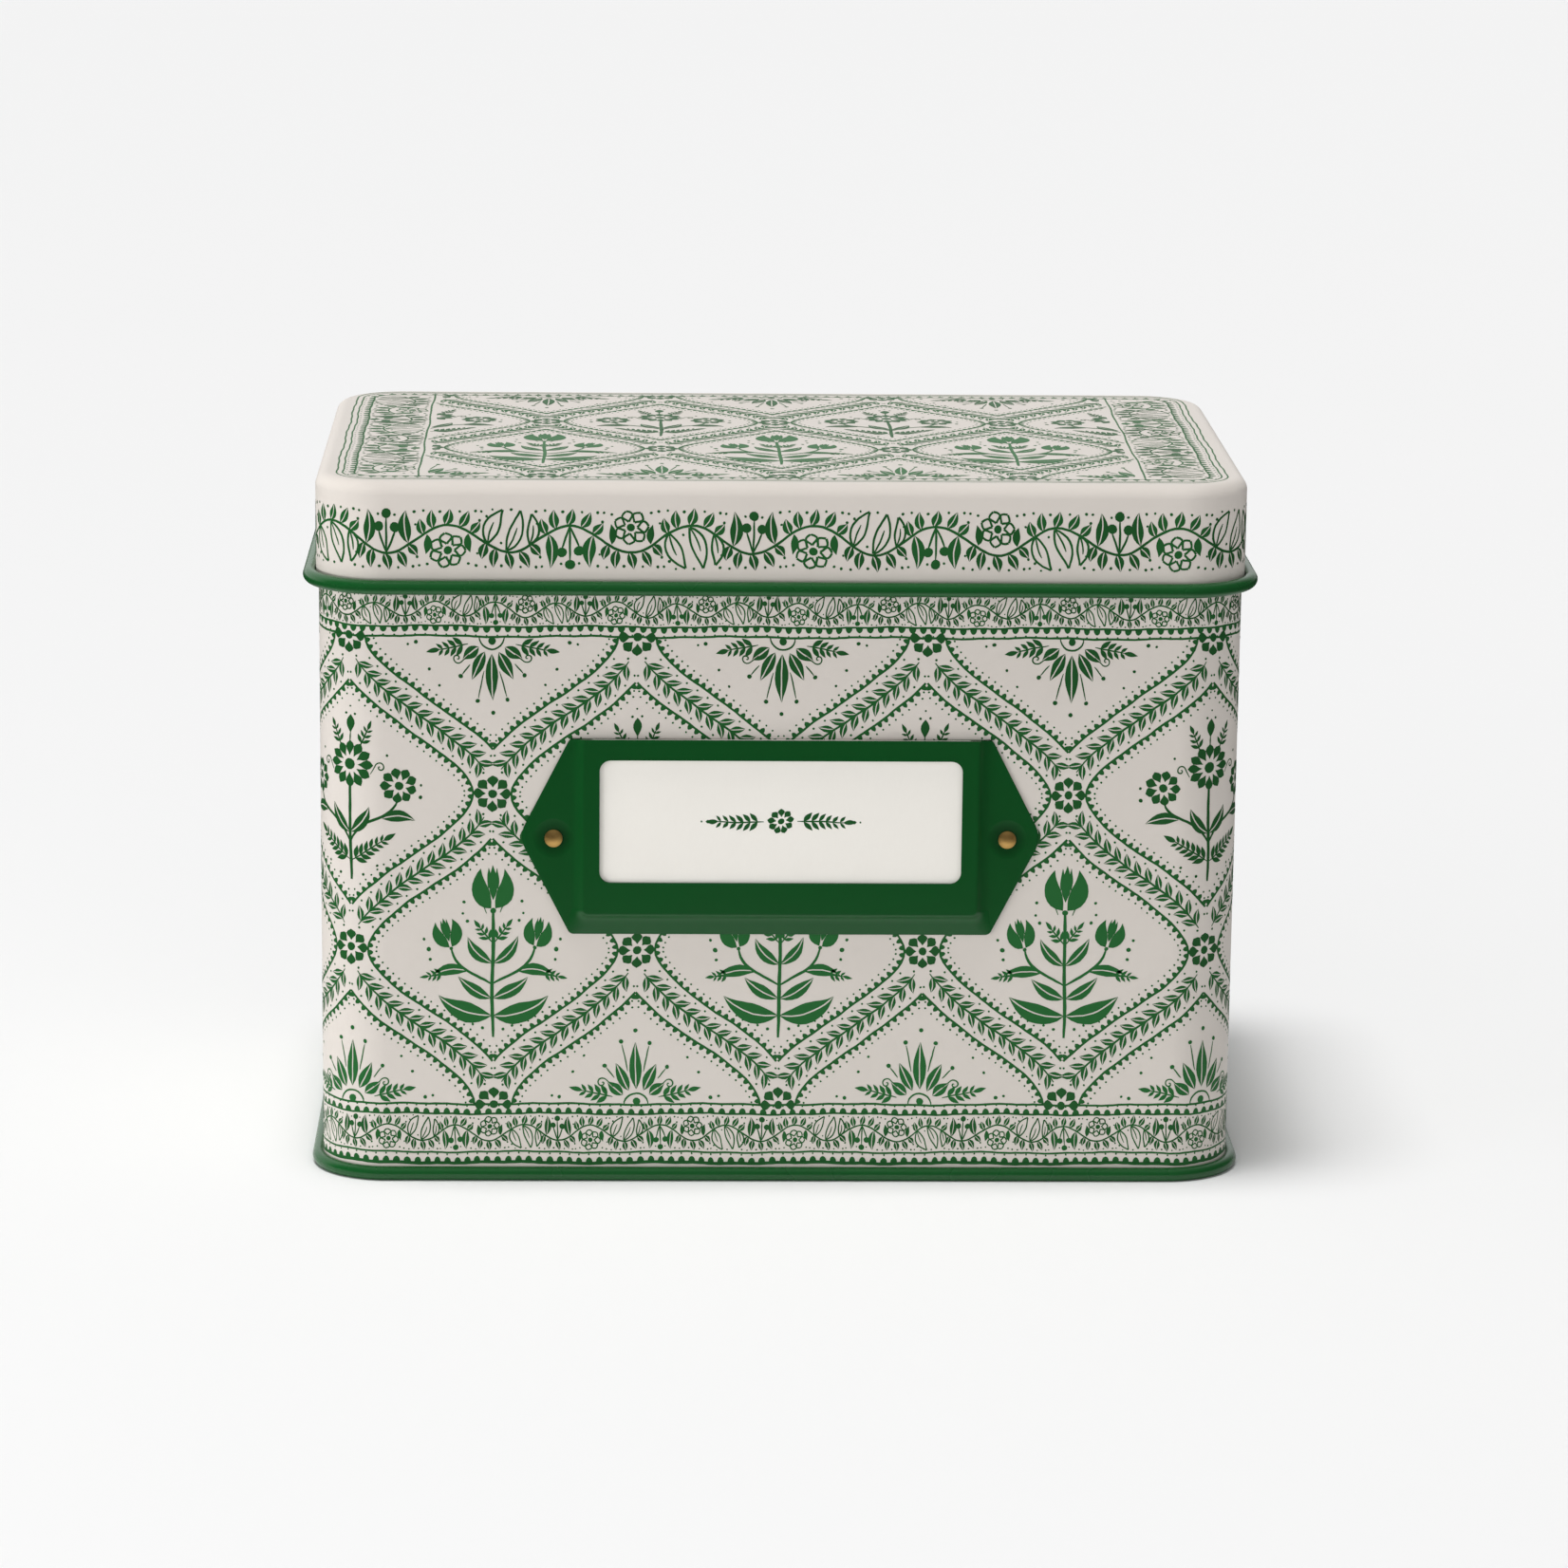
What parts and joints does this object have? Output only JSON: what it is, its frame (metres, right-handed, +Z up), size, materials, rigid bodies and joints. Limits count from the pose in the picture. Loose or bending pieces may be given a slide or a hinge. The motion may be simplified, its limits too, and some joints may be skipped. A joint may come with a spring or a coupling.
{
  "type": "recipe card box",
  "caption": "Printed tinplate box with a hinged overlapping lid, rolled green rims and a riveted label holder, holding tabbed dividers and recipe cards that lean back.",
  "frame": {"origin": "on the table, under the middle of the tin", "axes": "+X along the width, towards the right seen from the front; -Y out of the front, which has the label holder; +Z up"},
  "size_m": [0.1706, 0.1076, 0.1276],
  "materials": {
    "printed_tin": "cream lithographed tinplate under satin varnish, with a green print",
    "green_tin": "green enamelled tinplate, satin",
    "holder_paint": "dark green semi-gloss enamel on stamped steel",
    "hinge_steel": "plain bright steel",
    "label_paper": "uncoated ivory card",
    "brass": "satin brass",
    "divider_board": "matte cream board",
    "card_paper": "uncoated white card",
    "green_print": "green printing ink under satin varnish"
  },
  "bodies": {
    "tin": {"body_shell": "printed_tin", "base_pan": "green_tin", "hinge_strap_left": "hinge_steel", "hinge_strap_right": "hinge_steel", "label_holder": "holder_paint", "holder_rivet_left": "brass", "holder_rivet_right": "brass"},
    "lid": {"lid_shell": "printed_tin", "hinge_wire": "hinge_steel"},
    "label": {"label_card": "label_paper"},
    "section_01": {"divider_01": "divider_board", "recipe_card_01": "card_paper", "recipe_card_02": "card_paper"},
    "section_02": {"divider_02": "divider_board", "recipe_card_03": "card_paper", "recipe_card_04": "card_paper"},
    "section_03": {"divider_03": "divider_board", "recipe_card_05": "card_paper", "recipe_card_06": "card_paper"},
    "section_04": {"divider_04": "divider_board", "recipe_card_07": "card_paper", "recipe_card_08": "card_paper"},
    "section_05": {"divider_05": "divider_board", "recipe_card_09": "card_paper", "recipe_card_10": "card_paper"},
    "section_06": {"divider_06": "divider_board", "recipe_card_11": "card_paper", "recipe_card_12": "card_paper"},
    "section_07": {"divider_07": "divider_board", "recipe_card_13": "card_paper", "recipe_card_14": "card_paper"},
    "section_08": {"divider_08": "divider_board", "recipe_card_15": "card_paper", "recipe_card_16": "card_paper"},
    "section_09": {"divider_09": "divider_board", "recipe_card_17": "card_paper", "recipe_card_18": "card_paper"},
    "section_10": {"divider_10": "divider_board", "recipe_card_19": "card_paper", "recipe_card_20": "card_paper"},
    "section_11": {"divider_11": "divider_board", "recipe_card_21": "card_paper", "recipe_card_22": "card_paper"},
    "section_12": {"divider_12": "divider_board", "recipe_card_23": "card_paper", "recipe_card_24": "card_paper"}
  },
  "joints": [
    {"name": "lid_hinge", "type": "hinge", "parent": "tin", "child": "lid", "pos_m": [0, 0.05255, 0.109], "axis": [-1, 0, 0], "range_deg": [0, 105]},
    {"name": "label_slide", "type": "slide", "parent": "tin", "child": "label", "axis": [0, 0, 1], "range_m": [0, 0.02]},
    {"name": "browse_01", "type": "hinge", "parent": "tin", "child": "section_01", "pos_m": [0, 0.00832, 0.00294], "axis": [1, 0, 0], "range_deg": [0, 40]},
    {"name": "browse_02", "type": "hinge", "parent": "tin", "child": "section_02", "pos_m": [0, 0.01025, 0.00294], "axis": [1, 0, 0], "range_deg": [0, 36.68]},
    {"name": "browse_03", "type": "hinge", "parent": "tin", "child": "section_03", "pos_m": [0, 0.01218, 0.00294], "axis": [1, 0, 0], "range_deg": [0, 33.34]},
    {"name": "browse_04", "type": "hinge", "parent": "tin", "child": "section_04", "pos_m": [0, 0.01411, 0.00294], "axis": [1, 0, 0], "range_deg": [0, 30.01]},
    {"name": "browse_05", "type": "hinge", "parent": "tin", "child": "section_05", "pos_m": [0, 0.01604, 0.00294], "axis": [1, 0, 0], "range_deg": [0, 26.68]},
    {"name": "browse_06", "type": "hinge", "parent": "tin", "child": "section_06", "pos_m": [0, 0.01797, 0.00294], "axis": [1, 0, 0], "range_deg": [0, 23.34]},
    {"name": "browse_07", "type": "hinge", "parent": "tin", "child": "section_07", "pos_m": [0, 0.0199, 0.00294], "axis": [1, 0, 0], "range_deg": [0, 20.01]},
    {"name": "browse_08", "type": "hinge", "parent": "tin", "child": "section_08", "pos_m": [0, 0.02183, 0.00294], "axis": [1, 0, 0], "range_deg": [0, 16.68]},
    {"name": "browse_09", "type": "hinge", "parent": "tin", "child": "section_09", "pos_m": [0, 0.02376, 0.00294], "axis": [1, 0, 0], "range_deg": [0, 13.34]},
    {"name": "browse_10", "type": "hinge", "parent": "tin", "child": "section_10", "pos_m": [0, 0.02569, 0.00294], "axis": [1, 0, 0], "range_deg": [0, 10.01]},
    {"name": "browse_11", "type": "hinge", "parent": "tin", "child": "section_11", "pos_m": [0, 0.02762, 0.00294], "axis": [1, 0, 0], "range_deg": [0, 6.68]},
    {"name": "browse_12", "type": "hinge", "parent": "tin", "child": "section_12", "pos_m": [0, 0.02955, 0.00294], "axis": [1, 0, 0], "range_deg": [0, 3.34]}
  ],
  "couplings": [
    {"joint": "browse_02", "follows": "browse_01", "ratio": 0.91667},
    {"joint": "browse_03", "follows": "browse_01", "ratio": 0.83333},
    {"joint": "browse_04", "follows": "browse_01", "ratio": 0.75},
    {"joint": "browse_05", "follows": "browse_01", "ratio": 0.66667},
    {"joint": "browse_06", "follows": "browse_01", "ratio": 0.58333},
    {"joint": "browse_07", "follows": "browse_01", "ratio": 0.5},
    {"joint": "browse_08", "follows": "browse_01", "ratio": 0.41667},
    {"joint": "browse_09", "follows": "browse_01", "ratio": 0.33333},
    {"joint": "browse_10", "follows": "browse_01", "ratio": 0.25},
    {"joint": "browse_11", "follows": "browse_01", "ratio": 0.16667},
    {"joint": "browse_12", "follows": "browse_01", "ratio": 0.083333}
  ]
}
